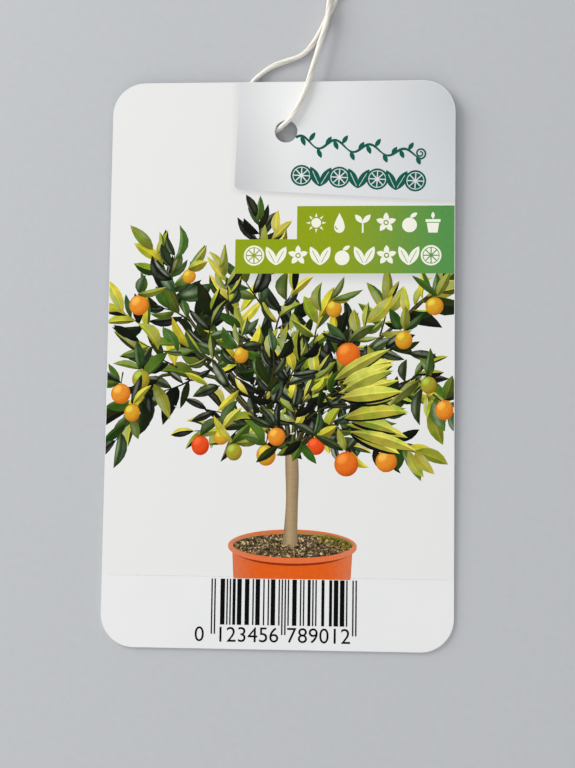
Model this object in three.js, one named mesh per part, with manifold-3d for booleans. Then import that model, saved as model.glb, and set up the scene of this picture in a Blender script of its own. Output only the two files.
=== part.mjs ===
// A plant's hang tag: a die-cut plastic card with a punched hole and a perforated tear-off strip,
// on a loop of white cotton string whose two ends are caught in one overhand knot.
//
// Millimetres. +X runs to the card's right, +Y up the card, +Z out of its printed face.
// The tag lies face up on a table, which is z = 0. The string comes up through the hole, and its other
// leg runs back under the card, so the card leans on its bottom edge and on that string.

import * as THREE from "three";
import { mergeVertices } from "three/addons/utils/BufferGeometryUtils.js";
import Module from "manifold-3d";

// ---- Driving dimensions -------------------------------------------------------------------------

const CARD_WIDTH = 76;
const CARD_LENGTH = 124.5;
const CARD_THICKNESS = 0.5;
const CORNER_RADIUS = 7.2;

const HOLE_RADIUS = 2.5;
const HOLE_X = 0.8;
const HOLE_FROM_TOP = 11.25;

const STRIP_HEIGHT = 15.35; // the tear-off strip, from the bottom edge to the perforation
const SLIT_LENGTH = 1.05;
const SLIT_WIDTH = 0.16;
const SLIT_PITCH = 1.5;
const PERFORATION_MARGIN = 1.1; // uncut card at each end of the perforation

const STRING_DIAMETER = 1.2;
const STRING_SIDES = 8;
const STRING_UNDER_CARD = 0.3; // air between the string and the card that leans on it

const KNOT_LENGTH = 5.4;
const KNOT_WIDTH = 6.2;
const KNOT_HEIGHT = 4.2;
const KNOT_MOUTH_HEIGHT = 2.6; // the flat end that the legs run into
const KNOT_CENTRE = new THREE.Vector3(22.93, 125, KNOT_HEIGHT / 2);
const KNOT_LEAN = 17.5; // degrees from +Y towards +X

const CORNER_SEGMENTS = 6; // in a quarter turn: within 0.07 mm of the arc
const HOLE_SEGMENTS = 32;
const KNOT_SEGMENTS = 20;

// ---- Worked out from them -----------------------------------------------------------------------

const cardBottom = -CARD_LENGTH / 2;
const holeY = CARD_LENGTH / 2 - HOLE_FROM_TOP;
const perforationY = cardBottom + STRIP_HEIGHT;

// The card's underside clears the string at the hole, and touches the table along the bottom edge.
const undersideAtHole = STRING_DIAMETER + STRING_UNDER_CARD;
const cardTilt = Math.asin(undersideAtHole / (holeY - cardBottom));

// ---- The string's route -------------------------------------------------------------------------
// Centreline points in part coordinates.

const LAID = STRING_DIAMETER / 2; // the centre's height where the string lies on the table

const ROUTES = {
  // Under the card: from the hole's left rim round to the top edge and out into the open.
  string_under: {
    steps: 11,
    points: [
      [-3.3, 50.8, LAID],
      [-5.2, 51.3, LAID],
      [-7.0, 53.1, LAID],
      [-7.9, 56.0, LAID],
      [-7.9, 59.2, LAID],
      [-7.1, 62.3, LAID],
      [-5.4, 64.2, LAID],
    ],
  },
  // Up through the hole, over its rim and across the card's face to the top edge.
  string_hole: {
    steps: 13,
    points: [
      [-3.0, 50.85, LAID],
      [-2.1, 51.2, LAID],
      [-1.2, 51.65, 0.86],
      [-0.5, 52.0, 1.36],
      [0.15, 52.35, 2.06],
      [0.85, 52.8, 2.62],
      [1.6, 53.5, 2.86],
      [2.5, 54.7, 2.92],
      [4.0, 57.6, 2.9],
      [5.3, 61.0, 2.9],
    ],
  },
  // From the top edge over the other leg, then down to the table and on to the knot.
  string_front: {
    steps: 23,
    points: [
      [5.4, 61.3, 2.9],
      [6.5, 65.1, 2.76],
      [7.6, 69.3, 2.5],
      [8.75, 73.1, 2.2],
      [9.5, 76.0, 1.98],
      [10.05, 81.2, 1.55],
      [10.5, 86.0, 1.1],
      [11.2, 91.0, 0.75],
      [12.4, 97.0, LAID],
      [14.1, 103.0, LAID],
      [16.4, 109.0, LAID],
      [18.8, 114.5, 0.68],
      [20.4, 118.8, 1.05],
      [21.4, 122.3, 1.5],
    ],
  },
  // From the top edge under the other leg, along the table on its far side, round to the knot.
  string_back: {
    steps: 23,
    points: [
      [-5.2, 64.4, LAID],
      [-3.4, 65.8, LAID],
      [-1.6, 66.7, LAID],
      [1.0, 67.6, LAID],
      [3.6, 68.6, LAID],
      [5.6, 70.3, LAID],
      [7.1, 72.5, LAID],
      [8.7, 75.8, LAID],
      [11.4, 81.5, LAID],
      [13.8, 86.4, LAID],
      [16.4, 91.5, LAID],
      [19.1, 96.6, LAID],
      [21.7, 101.7, LAID],
      [23.8, 106.8, LAID],
      [25.1, 112.0, LAID],
      [25.0, 116.2, 0.76],
      [23.9, 119.4, 1.1],
      [22.7, 121.95, 1.5],
    ],
  },
  string_tail_left: {
    steps: 3,
    points: [
      [23.2, 128.1, 1.4],
      [23.1, 131.0, 0.76],
      [22.0, 134.6, LAID],
    ],
  },
  string_tail_right: {
    steps: 3,
    points: [
      [24.4, 127.75, 1.4],
      [25.8, 130.5, 0.76],
      [28.2, 133.1, LAID],
    ],
  },
};

// ---- Materials ----------------------------------------------------------------------------------

const printedPlastic = () =>
  new THREE.MeshStandardMaterial({ color: "#ecedec", roughness: 0.42, metalness: 0 });

const cottonString = () =>
  new THREE.MeshStandardMaterial({ color: "#e8e3d6", roughness: 0.9, metalness: 0 });

// ---- Cutting ------------------------------------------------------------------------------------

const manifold = await Module();
manifold.setup();

/** A closed geometry as a solid that can be cut: only its corners count, and shared ones are merged. */
function solidFrom(geometry) {
  const bare = geometry.clone();
  bare.deleteAttribute("normal");
  bare.deleteAttribute("uv");
  const merged = mergeVertices(bare);
  return new manifold.Manifold(
    new manifold.Mesh({
      numProp: 3,
      vertProperties: merged.attributes.position.array,
      triVerts: new Uint32Array(merged.index.array),
    }),
  );
}

function geometryFrom(solid) {
  const mesh = solid.getMesh();
  const geometry = new THREE.BufferGeometry();
  geometry.setAttribute("position", new THREE.BufferAttribute(mesh.vertProperties, 3));
  geometry.setIndex(new THREE.BufferAttribute(mesh.triVerts, 1));
  geometry.computeVertexNormals();
  return geometry;
}

// ---- Shapes -------------------------------------------------------------------------------------

/** Points along an arc, anticlockwise where `to` is the larger angle. */
function arc(x, y, radius, from, to, segments) {
  return new THREE.EllipseCurve(x, y, radius, radius, from, to, to < from).getPoints(segments);
}

/** A closed rectangle with quarter-circle corners, centred on the origin. */
function roundedRectangle(width, length, radius) {
  const x = width / 2 - radius;
  const y = length / 2 - radius;
  const quarter = Math.PI / 2;
  const centres = [[x, y], [-x, y], [-x, -y], [x, -y]];
  return new THREE.Shape(
    centres.flatMap(([cx, cy], i) =>
      arc(cx, cy, radius, i * quarter, (i + 1) * quarter, CORNER_SEGMENTS),
    ),
  );
}

function punchedHole() {
  const rim = arc(HOLE_X, holeY, HOLE_RADIUS, 2 * Math.PI, 0, HOLE_SEGMENTS);
  return new THREE.Path(rim.slice(1));
}

/** The blank card, lying flat with its back on z = 0 and its middle at the origin. */
function blankCard() {
  const outline = roundedRectangle(CARD_WIDTH, CARD_LENGTH, CORNER_RADIUS);
  outline.holes = [punchedHole()];
  return new THREE.ExtrudeGeometry(outline, { depth: CARD_THICKNESS, bevelEnabled: false });
}

/** The knives of the perforation: a row of thin blades that stand through the card. */
function perforationBlades() {
  const room = CARD_WIDTH - 2 * PERFORATION_MARGIN - SLIT_LENGTH;
  const count = Math.floor(room / SLIT_PITCH) + 1;
  const firstX = (-(count - 1) * SLIT_PITCH) / 2;
  return Array.from({ length: count }, (_, i) =>
    new THREE.BoxGeometry(SLIT_LENGTH, SLIT_WIDTH, 3 * CARD_THICKNESS).translate(
      firstX + i * SLIT_PITCH,
      perforationY,
      CARD_THICKNESS / 2,
    ),
  );
}

function makeCard() {
  const cut = perforationBlades().reduce(
    (solid, blade) => solid.subtract(solidFrom(blade)),
    solidFrom(blankCard()),
  );
  const geometry = geometryFrom(cut);
  const card = new THREE.Mesh(geometry, printedPlastic());
  card.name = "tag_card";
  // Its bottom edge stays on the table and in place while the top is raised onto the string.
  card.position.set(0, -cardBottom, 0);
  const leaning = new THREE.Group();
  leaning.position.set(0, cardBottom, 0);
  leaning.rotation.x = cardTilt;
  leaning.add(card);
  return leaning;
}

function roundSection(radius, sides) {
  const corners = Array.from({ length: sides }, (_, i) => {
    const turn = (2 * Math.PI * (i + 0.5)) / sides;
    return new THREE.Vector2(radius * Math.cos(turn), radius * Math.sin(turn));
  });
  return new THREE.Shape(corners);
}

function makeString(name, { points, steps }) {
  const centreline = new THREE.CatmullRomCurve3(
    points.map((point) => new THREE.Vector3(...point)),
    false,
    "centripetal",
  );
  const geometry = new THREE.ExtrudeGeometry(
    roundSection(STRING_DIAMETER / 2, STRING_SIDES),
    { steps, extrudePath: centreline, bevelEnabled: false },
  );
  const stretch = new THREE.Mesh(geometry, cottonString());
  stretch.name = name;
  return stretch;
}

/** The knot's outer form: a flattened barrel along the string, with a flat mouth at each end. */
function makeKnot() {
  const half = KNOT_LENGTH / 2;
  const swelling = (KNOT_HEIGHT - KNOT_MOUTH_HEIGHT) / 2;
  const barrel = (share) =>
    KNOT_MOUTH_HEIGHT / 2 + swelling * Math.cos((share * Math.PI) / 2);
  const stations = [-1, -0.7, -0.35, 0, 0.35, 0.7, 1];
  const profile = [
    new THREE.Vector2(0, -half),
    ...stations.map((share) => new THREE.Vector2(barrel(share), share * half)),
    new THREE.Vector2(0, half),
  ];
  const geometry = new THREE.LatheGeometry(profile, KNOT_SEGMENTS);
  geometry.scale(KNOT_WIDTH / KNOT_HEIGHT, 1, 1);
  const knot = new THREE.Mesh(geometry, cottonString());
  knot.name = "string_knot";
  knot.position.copy(KNOT_CENTRE);
  knot.rotation.z = THREE.MathUtils.degToRad(-KNOT_LEAN);
  return knot;
}

// ---- The tag ------------------------------------------------------------------------------------

const tag = new THREE.Group();
tag.add(makeCard());
tag.add(makeKnot());
for (const [name, route] of Object.entries(ROUTES)) tag.add(makeString(name, route));

export default tag;
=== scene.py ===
# %% [markdown]
# # A plant's hang tag
# Garden centres tie such a tag to a plant: a printed plastic card with a punched hole, on a loop of
# cotton string. Here it lies face up on a table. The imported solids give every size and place. This
# lesson dresses them: twisted string, a die-cut sheet, printed ink, ornaments and bars, and light.

# %% Open the frame
import math
from functools import partial

import bpy
import numpy as np
from mathutils import Matrix
from mathutils.geometry import delaunay_2d_cdt


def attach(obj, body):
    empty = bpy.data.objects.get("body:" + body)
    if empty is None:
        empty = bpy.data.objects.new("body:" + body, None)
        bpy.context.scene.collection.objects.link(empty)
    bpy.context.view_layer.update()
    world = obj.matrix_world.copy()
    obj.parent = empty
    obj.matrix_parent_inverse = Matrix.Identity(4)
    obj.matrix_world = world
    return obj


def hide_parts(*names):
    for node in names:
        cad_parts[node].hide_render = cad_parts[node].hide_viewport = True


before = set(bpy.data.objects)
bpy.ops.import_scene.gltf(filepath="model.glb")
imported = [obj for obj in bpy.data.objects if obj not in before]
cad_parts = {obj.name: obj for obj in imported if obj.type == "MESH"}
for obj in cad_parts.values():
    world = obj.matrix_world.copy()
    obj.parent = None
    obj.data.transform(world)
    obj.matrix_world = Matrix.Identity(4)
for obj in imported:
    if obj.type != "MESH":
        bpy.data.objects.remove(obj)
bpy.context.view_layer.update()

MM = 0.001
print("solids:", ", ".join(sorted(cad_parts)))

# %% [markdown]
# ## The camera
# The card is seen from nearly straight above. A long lens at 35 cm keeps its sides almost parallel.
# Two points, the eye and what it looks at, are easier to read than three angles. A small roll stands
# for a hand that isn't quite level. The lamps are aimed by the same function.

# %% Aim the camera
def unit(vectors):
    """A vector, or rows of them, at length 1."""
    return vectors / np.linalg.norm(vectors, axis=-1, keepdims=True)


def aimed(data, eye, target, roll=0.0):
    """An object at `eye`, in mm. Right is ahead x (0, 1, 0), up is right x ahead, and the roll, in
    degrees, turns right towards up."""
    ahead = unit(np.subtract(target, eye))
    right = unit(np.cross(ahead, (0, 1, 0)))
    up = np.cross(right, ahead)
    c, s = math.cos(math.radians(roll)), math.sin(math.radians(roll))
    axes = np.column_stack([right * c + up * s, up * c - right * s, -ahead, np.multiply(eye, MM)])
    holder = bpy.data.objects.new(data.name, data)
    holder.matrix_world = Matrix(np.vstack([axes, (0, 0, 0, 1)]).tolist())
    bpy.context.scene.collection.objects.link(holder)
    return holder


lens = bpy.data.cameras.new("camera")
lens.lens, lens.sensor_width, lens.clip_start = 75.0, 36, 0.01
bpy.context.scene.camera = aimed(lens, (31.63, -45.06, 345.44), (1.75, -4.97, 0), roll=0.845)
print("camera looks down", np.round(bpy.context.scene.camera.matrix_world.col[2][:3], 3))

# %% [markdown]
# ## Small helpers
# Colours are picked as sRGB hex values, but shaders count in linear light. One function adds any
# node, so a material reads as a list of its nodes: what flows in, in the order of the node's own
# inputs, and its settings. Meshes are whole arrays in millimetres, and objects stay at the origin.

# %% Colours and nodes
def linear(hex_colour):
    """Each channel c of sRGB becomes c / 12.92 when dark, else ((c + 0.055) / 1.055) ** 2.4."""
    srgb = np.array([int(hex_colour[i : i + 2], 16) for i in (1, 3, 5)]) / 255
    light = np.where(srgb <= 0.04045, srgb / 12.92, ((srgb + 0.055) / 1.055) ** 2.4)
    return (*light.tolist(), 1.0)


def wire(node, inputs):
    """An input takes a value, a socket, or a node, whose first output that is in use is linked."""
    for name, value in inputs.items():
        if isinstance(value, bpy.types.Node):
            value = next(output for output in value.outputs if output.enabled)
        if isinstance(value, bpy.types.NodeSocket):
            node.id_data.links.new(value, node.inputs[name])
        else:
            node.inputs[name].default_value = value


def add_node(tree, kind, *values, inputs=None, **settings):
    """Adds one node with its settings. Values go in turn to the inputs in use, or by name."""
    node = tree.nodes.new("ShaderNode" + kind)
    for name, value in settings.items():
        setattr(node, name, value)
    in_use = [number for number, socket in enumerate(node.inputs) if socket.enabled]
    wire(node, dict(zip(in_use, values)) | (inputs or {}))
    return node


TIMES, TIMES_PLUS = {"operation": "MULTIPLY"}, {"operation": "MULTIPLY_ADD"}
LESS, LARGER, SIZE = {"operation": "SUBTRACT"}, {"operation": "MAXIMUM"}, {"operation": "ABSOLUTE"}
SMOOTH, COLOURS = {"interpolation_type": "SMOOTHSTEP"}, {"data_type": "RGBA"}
TINTED = {"data_type": "RGBA", "blend_type": "MULTIPLY"}
print("half of full screen brightness in linear light:", round(linear("#808080")[0], 3))


# %% Materials and meshes
def new_material(name, shader_values):
    """A Principled material, `add` for nodes of its tree, and the shader with its own values."""
    material = bpy.data.materials.new(name)
    material.use_nodes = True
    material.node_tree.nodes.clear()
    add = partial(add_node, material.node_tree)
    shader = add("BsdfPrincipled", inputs=shader_values)
    add("OutputMaterial", shader)
    return material, add, shader


def make_piece(name, points, faces, materials, slot=None, stands_for=(), smooth=False):
    """A mesh from points in mm (n, 3) and faces, rows of point numbers. A piece of the tag, given a slot,
    rides on the one body, root; the slot's name is not kept. It may stand for solids, which are hidden."""
    mesh = bpy.data.meshes.new(name)
    mesh.from_pydata((points * MM).tolist(), [], [row.tolist() for row in faces])
    for material in materials:
        mesh.materials.append(material)
    mesh.polygons.foreach_set("use_smooth", np.full(len(mesh.polygons), smooth))
    piece = bpy.data.objects.new(name, mesh)
    bpy.context.scene.collection.objects.link(piece)
    if slot:
        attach(piece, "root")
    if stands_for:
        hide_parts(*stands_for)
    print(name, len(mesh.polygons), "faces")
    return piece


# %% [markdown]
# ## Where the string runs
# One length of cotton string is threaded once through the hole, and both ends are caught in one
# knot. Its first leg comes up through the hole and lies across the face. The second runs back under
# the card and out at the top edge. Both are limp and follow the table. A natural cubic spline
# through a few points bends as soft string does, with no sudden change of curvature.

# %% Two legs and two tails
STRING_DIAMETER = 1.2
LAID = STRING_DIAMETER / 2
FRONT_LEG = np.array([
    (-3.0, 50.85, LAID), (-2.1, 51.2, LAID), (-1.2, 51.65, 0.86), (-0.5, 52.0, 1.36),
    (0.15, 52.35, 2.06), (0.85, 52.8, 2.62), (1.6, 53.5, 2.86), (2.5, 54.7, 2.92),
    (4.0, 57.6, 2.9), (5.35, 61.15, 2.9), (6.5, 65.1, 2.76), (7.6, 69.3, 2.5),
    (8.75, 73.1, 2.2), (9.5, 76.0, 1.98), (10.05, 81.2, 1.55), (10.5, 86.0, 1.1),
    (11.2, 91.0, 0.75), (12.4, 97.0, LAID), (14.1, 103.0, LAID), (16.4, 109.0, LAID),
    (18.8, 114.5, 0.68), (20.4, 118.8, 1.05), (21.4, 122.3, 1.5),
])
BACK_LEG = np.array([
    (-3.3, 50.8, LAID), (-5.2, 51.3, LAID), (-7.0, 53.1, LAID), (-7.9, 56.0, LAID),
    (-7.9, 59.2, LAID), (-7.1, 62.3, LAID), (-5.3, 64.3, LAID), (-3.4, 65.8, LAID),
    (-1.6, 66.7, LAID), (1.0, 67.6, LAID), (3.6, 68.6, LAID), (5.6, 70.3, LAID),
    (7.1, 72.5, LAID), (8.7, 75.8, LAID), (11.4, 81.5, LAID), (13.8, 86.4, LAID),
    (16.4, 91.5, LAID), (19.1, 96.6, LAID), (21.7, 101.7, LAID), (23.8, 106.8, LAID),
    (25.1, 112.0, LAID), (25.0, 116.2, 0.76), (23.9, 119.4, 1.1), (22.7, 121.95, 1.5),
])
LEFT_TAIL = np.array([(23.2, 128.1, 1.4), (23.1, 131.0, 0.76), (22.0, 134.6, LAID)])
RIGHT_TAIL = np.array([(24.4, 127.75, 1.4), (25.8, 130.5, 0.76), (28.2, 133.1, LAID)])
print("points on the legs:", len(FRONT_LEG), len(BACK_LEG))

# %% A smooth route through points
STRING_STEP = 0.16


def distances(path):
    """How far each point lies along a path: the lengths of its steps, added up."""
    return np.concatenate([[0], np.cumsum(np.linalg.norm(np.diff(path, axis=0), axis=1))])


def walk_evenly(path, step):
    """The same path with its points `step` mm apart along it."""
    along = distances(path)
    stations = np.linspace(0, along[-1], max(2, round(along[-1] / step) + 1))
    return np.column_stack([np.interp(stations, along, path[:, axis]) for axis in range(3)])


def smooth_route(points, step=STRING_STEP):
    """A natural cubic spline over the square root of the chord lengths, walked in even steps."""
    chord = np.sqrt(np.linalg.norm(np.diff(points, axis=0), axis=1))
    knots = np.concatenate([[0], np.cumsum(chord)])
    inner = np.arange(1, len(points) - 1)
    system = np.eye(len(points))
    system[inner, inner - 1] = chord[:-1]
    system[inner, inner] = 2 * (chord[:-1] + chord[1:])
    system[inner, inner + 1] = chord[1:]
    force = np.zeros_like(points)
    force[1:-1] = 6 * np.diff(np.diff(points, axis=0) / chord[:, None], axis=0)
    bend = np.linalg.solve(system, force)
    at = np.linspace(0, knots[-1], 60 * len(points))
    i = np.clip(np.searchsorted(knots, at, "right") - 1, 0, len(chord) - 1)
    h, left, right = chord[i][:, None], (knots[i + 1] - at)[:, None], (at - knots[i])[:, None]
    curve = (bend[i] * left**3 + bend[i + 1] * right**3) / (6 * h)
    curve += (points[i] / h - bend[i] * h / 6) * left + (points[i + 1] / h - bend[i + 1] * h / 6) * right
    return walk_evenly(curve, step)


front_path, back_path = smooth_route(FRONT_LEG), smooth_route(BACK_LEG)
print("front leg %.1f mm, back leg %.1f mm" % (distances(front_path)[-1], distances(back_path)[-1]))

# %% [markdown]
# ## Twisted cotton
# The string is two plies of spun cotton with a long, loose lay, so it is nearly round, and the
# grooves between the plies wind slowly along it. They are cut into the mesh itself. The fibres are
# far finer: they are left to the material, which follows a `lay` attribute that turns with the plies.

# %% The strand's surface
PLIES = 2
LAY = -17.0  # mm for one turn of the plies, to the left


def strand_surface(path, radius, around=24, groove=0.16, start=0.0):
    """Radius r * (1 - groove * (1 - |cos(plies * turn / 2)|)), where turn is the angle round the
    path less the twist, 2 pi * distance / lay. Each end is closed by a fan to a middle point."""
    along = distances(path) + start
    ahead = unit(np.gradient(path, axis=0))
    side = unit(np.cross(ahead, (0, 0, 1)))
    top = np.cross(side, ahead)
    angle = np.linspace(0, 2 * np.pi, around, endpoint=False)
    turn = angle[None, :] - 2 * np.pi * along[:, None] / LAY
    reach = radius * (1 - groove * (1 - np.abs(np.cos(PLIES * turn / 2))))
    spokes = side[:, None] * np.cos(angle)[None, :, None] + top[:, None] * np.sin(angle)[None, :, None]
    rings = path[:, None] + spokes * reach[..., None]
    lay = np.stack([np.cos(turn) * reach, np.sin(turn) * reach, 0 * turn + along[:, None]], axis=-1)
    near = np.arange(len(path) * around).reshape(-1, around)
    far = np.roll(near, -1, axis=1)
    faces = [*np.stack([near[:-1], far[:-1], far[1:], near[1:]], axis=-1).reshape(-1, 4)]
    faces += [*np.column_stack([far[0], near[0], np.full(around, near.size)])]
    faces += [*np.column_stack([near[-1], far[-1], np.full(around, near.size + 1)])]
    points = np.concatenate([rings.reshape(-1, 3), path[[0, -1]]])
    return points, faces, np.concatenate([lay.reshape(-1, 3), [(0, 0, along[0]), (0, 0, along[-1])]])


# %% [markdown]
# Bleached cotton is a warm off-white and fully matt: light sinks between its fibres, so the string's
# edge looks darker and creamier than its middle. A little sheen stands for the fuzz. Fibres of
# 0.02 mm are too fine to show, so the bump draws them five times as coarse.

# %% Cotton
def bleached_cotton():
    """Ring-spun cotton: matt, warm white, with streaks that follow the lay, and painted shade that darkens
    the grooves.
    """
    shader_values = {"Roughness": 0.92, "Sheen Weight": 0.25, "Sheen Roughness": 0.6}
    material, add, shader = new_material("bleached_cotton", shader_values | {"Specular IOR Level": 0.25})
    lay = add("Attribute", attribute_name="lay").outputs["Vector"]
    drawn_out = add("Mapping", lay, inputs={"Scale": (9, 9, 0.9)})
    fibres = add("TexNoise", drawn_out, 1.0, 3.0)
    streaks = add("MapRange", fibres, 0.3, 0.7)
    tint = add("Mix", streaks, linear("#e9e1d0"), linear("#fbf9f3"), **COLOURS)
    # painted shade: the colour is darkened towards the grooves between the plies, where shade falls
    from_groove = add("Math", add("SeparateXYZ", lay), **SIZE)
    dusk = add("MapRange", from_groove, 0.0, 0.2, 0.7, 1.0, **SMOOTH)
    slubs = add("TexNoise", lay, 0.35, 1.0)
    shade = add("Math", dusk, add("MapRange", slubs, 0.3, 0.7, 0.92, 1.0), **TIMES)
    relief = add("Bump", 0.8, 0.06 * MM, inputs={"Height": fibres})
    wire(shader, {"Base Color": add("Mix", 1.0, tint, shade, **TINTED), "Normal": relief})
    return material


cotton = bleached_cotton()


def make_strands(name, surfaces, *solids):
    """Strands as one piece: each one's point numbers are moved on past those before it."""
    points, faces, lay = zip(*surfaces)
    starts = np.cumsum([0] + [len(rows) for rows in points])
    faces = [row + start for rows, start in zip(faces, starts) for row in rows]
    piece = make_piece(name, np.vstack(points), faces, [cotton], "string", solids, smooth=True)
    lay_data = piece.data.attributes.new("lay", "FLOAT_VECTOR", "POINT")
    lay_data.data.foreach_set("vector", np.vstack(lay).ravel())
    return piece


LEG_RADIUS, KNOT_RADIUS, TAIL_RADIUS = 0.62, 0.53, 0.56
leg_strands = strand_surface(front_path, LEG_RADIUS), strand_surface(back_path, LEG_RADIUS, start=4.0)
front_leg = make_strands("string_front_leg", leg_strands[:1], "string_hole", "string_front")
back_leg = make_strands("string_back_leg", leg_strands[1:], "string_under", "string_back")

# %% [markdown]
# ## The knot
# Both ends are tied together in one overhand knot. It is hard to draw by hand, but easy to pull
# tight by rule. Two loose strands lie side by side along a rough overhand curve. Again and again,
# their four ends are pulled, each link of string keeps its length, and any two that come closer
# than a string's thickness push each other apart.

# %% Tie it and pull it tight
OVERHAND = np.array([
    (0, -14, 0), (0, -7, 0), (-0.3, -4.6, -0.5), (-0.6, -2.6, -1.3), (0.1, -0.3, 1.3),
    (1.3, 2.4, -1.3), (3.2, 4, -0.4), (4.8, 2.6, 0.2), (4.4, 0, 0.6), (2, -2.2, 1),
    (-0.6, -2.6, 1.5), (-2.4, -1.9, 0.4), (-1.6, -0.6, -0.9), (0.1, -0.3, -1.6), (1.6, 0.8, -0.4),
    (1.6, 2.2, 1.6), (0.4, 4.6, 0.8), (0, 7, 0), (0, 14, 0),
])
ROUNDS, LINK, THICKNESS, BESIDE, PULL = 1200, 0.45, 1.05, 0.62, 0.04  # mm, and mm a round
STIFF, PUSH, RELAX = 0.45, 0.3, 0.08  # the share of each fault that is put right at once


def summed(index, pushes, count):
    """The pushes on each point, added up."""
    return np.column_stack([np.bincount(index, pushes[:, axis], count) for axis in range(3)])


def pull_tight(centreline):
    """Two strands, one on each side of the line. Each round pulls the ends out, and then five times
    gives every link its length back and pushes apart points closer than the thickness."""
    middle = smooth_route(centreline, 0.2)
    sideways = np.cross(np.gradient(middle, axis=0), (0, 0, 1))
    sideways *= BESIDE / np.linalg.norm(sideways, axis=1)[:, None]
    strands = [walk_evenly(middle + sideways, LINK), walk_evenly(middle - sideways, LINK)]
    x = np.concatenate(strands)
    first = len(strands[0])
    owner = np.arange(len(x)) >= first
    links = np.flatnonzero(owner[1:] == owner[:-1])
    inner = np.flatnonzero(owner[2:] == owner[:-2]) + 1
    a, b = np.triu_indices(len(x), 1)
    apart = (owner[a] != owner[b]) | (b - a >= 4)
    a, b = a[apart], b[apart]
    rest_side = np.where(owner, -0.6, 0.6)
    for count in range(ROUNDS):
        if count % 40 == 0:
            near = np.linalg.norm(x[b] - x[a], axis=1) < THICKNESS + 1.2
            i, j = a[near], b[near]
        x[[0, first], 1] -= PULL
        x[[first - 1, len(x) - 1], 1] += PULL
        for _ in range(5):
            gap = x[links + 1] - x[links]
            long = np.linalg.norm(gap, axis=1)[:, None]
            x[links] += gap * STIFF * (long - LINK) / long
            x[links + 1] -= gap * STIFF * (long - LINK) / long
            gap = x[j] - x[i]
            long = np.linalg.norm(gap, axis=1)
            touch = long < THICKNESS
            push = gap[touch] * ((THICKNESS - long[touch]) * PUSH / long[touch])[:, None]
            x += summed(j[touch], push, len(x)) - summed(i[touch], push, len(x))
        x[inner] += RELAX * ((x[inner - 1] + x[inner + 1]) / 2 - x[inner])
        outside = np.abs(x[:, 1]) > 2.4
        x[outside, 0] += (rest_side[outside] - x[outside, 0]) * 0.3
        x[outside, 2] *= 0.7
    return x[:first], x[first:]


right_strand, left_strand = pull_tight(OVERHAND)
core = np.concatenate([right_strand, left_strand])
core = core[np.abs(core[:, 1]) < 2.6]
print("tight knot, mm:", np.round(core.max(0) - core.min(0) + STRING_DIAMETER, 2))

# %% [markdown]
# Pulled tight, the cotton is squeezed: the knot shrinks a little, and more in height, because it is
# pressed on the table. Its four ends are then led to the ends of the two legs and the two tails.

# %% Set the knot between legs and tails
KNOT_CENTRE = np.array([22.93, 125.0, 2.0])
lean = math.radians(17.5)  # from +Y towards +X
KNOT_TURN = np.array([(math.cos(lean), math.sin(lean), 0), (-math.sin(lean), math.cos(lean), 0), (0, 0, 1)])
SQUEEZE = np.array([0.87, 0.87, 0.8])
CORE_HALF = 1.7


def set_strand(strand, leg_end, tail_start):
    """The squeezed strand, with each outer stretch led to its leg or tail by a smooth step. It is
    worked out from the knot's middle, with y along the string, and turned into place at the end."""
    strand = strand * SQUEEZE
    in_core = np.abs(strand[:, 1]) < CORE_HALF
    inside = np.flatnonzero(in_core)
    goals = (np.array([leg_end, tail_start]) - KNOT_CENTRE) @ KNOT_TURN
    number = np.arange(len(strand))
    before, after = number < inside[0], number > inside[-1]
    for goal, outer, sign in ((goals[0], before, -1), (goals[1], after, 1)):
        share = np.clip((sign * strand[:, 1] - CORE_HALF) / (abs(goal[1]) - CORE_HALF), 0, 1)
        share = np.where(outer, share * share * (3 - 2 * share), 0)[:, None]
        strand[:, [0, 2]] += (goal[[0, 2]] - strand[:, [0, 2]]) * share
    kept = (number > inside[0] - 8) & (number < inside[-1] + 8) | in_core
    kept &= ~(before & (strand[:, 1] < goals[0, 1])) & ~(after & (strand[:, 1] > goals[1, 1]))
    route = np.vstack([goals[0], strand[kept], goals[1]])
    return smooth_route(route @ KNOT_TURN.T + KNOT_CENTRE, 0.12)


knot_paths = [
    set_strand(left_strand, FRONT_LEG[-1], LEFT_TAIL[0]),
    set_strand(right_strand, BACK_LEG[-1], RIGHT_TAIL[0]),
]
knot_strands = [strand_surface(path, KNOT_RADIUS) for path in knot_paths]
knot = make_strands("overhand_knot", knot_strands, "string_knot")
print("string in the knot: %.1f mm" % sum(distances(path)[-1] for path in knot_paths))

# %% [markdown]
# ## The cut ends
# Cotton string is cut, not sealed, so its ends open into a small brush. Each tail is a short strand
# whose last millimetres carry a tuft of loose fibres that spread like a cone.

# %% Two frayed tails
def tuft(route, seed, fibres=26, reach=2.2):
    """Fibre k leaves the end at distance t with x = end + t * ahead + spread_k * t ** 1.5."""
    rng = np.random.default_rng(seed)
    ahead = unit(route[-1] - route[-4])
    side = np.cross(ahead, (0, 0, 1))
    turn = rng.uniform(0, 2 * np.pi, fibres)
    out = np.sqrt(rng.uniform(0, 1, fibres))
    t = np.linspace(-0.6, 1, 8)
    length = rng.uniform(0.45, 1, fibres)[:, None, None] * reach
    start = (np.outer(np.cos(turn) * out, side) + np.outer(np.sin(turn) * out, (0, 0, 1)))[:, None]
    grow = np.clip(t, 0, 1)[None, :, None] ** 1.5
    paths = route[-1] + start * 0.42 + ahead * t[None, :, None] * length + start * 0.75 * grow * length
    paths[..., 2] = np.maximum(paths[..., 2], 0.08)
    return [strand_surface(path, 0.07, around=6, groove=0.0) for path in paths]


for side, leg, leg_points, leg_path, tail, seed in (
    ("left", front_leg, FRONT_LEG, front_path, LEFT_TAIL, 3),
    ("right", back_leg, BACK_LEG, back_path, RIGHT_TAIL, 4),
):
    route = smooth_route(tail)
    brush = [strand_surface(route, TAIL_RADIUS)] + tuft(route, seed)
    frayed_end = make_strands("string_end_" + side, brush, "string_tail_" + side)

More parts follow.
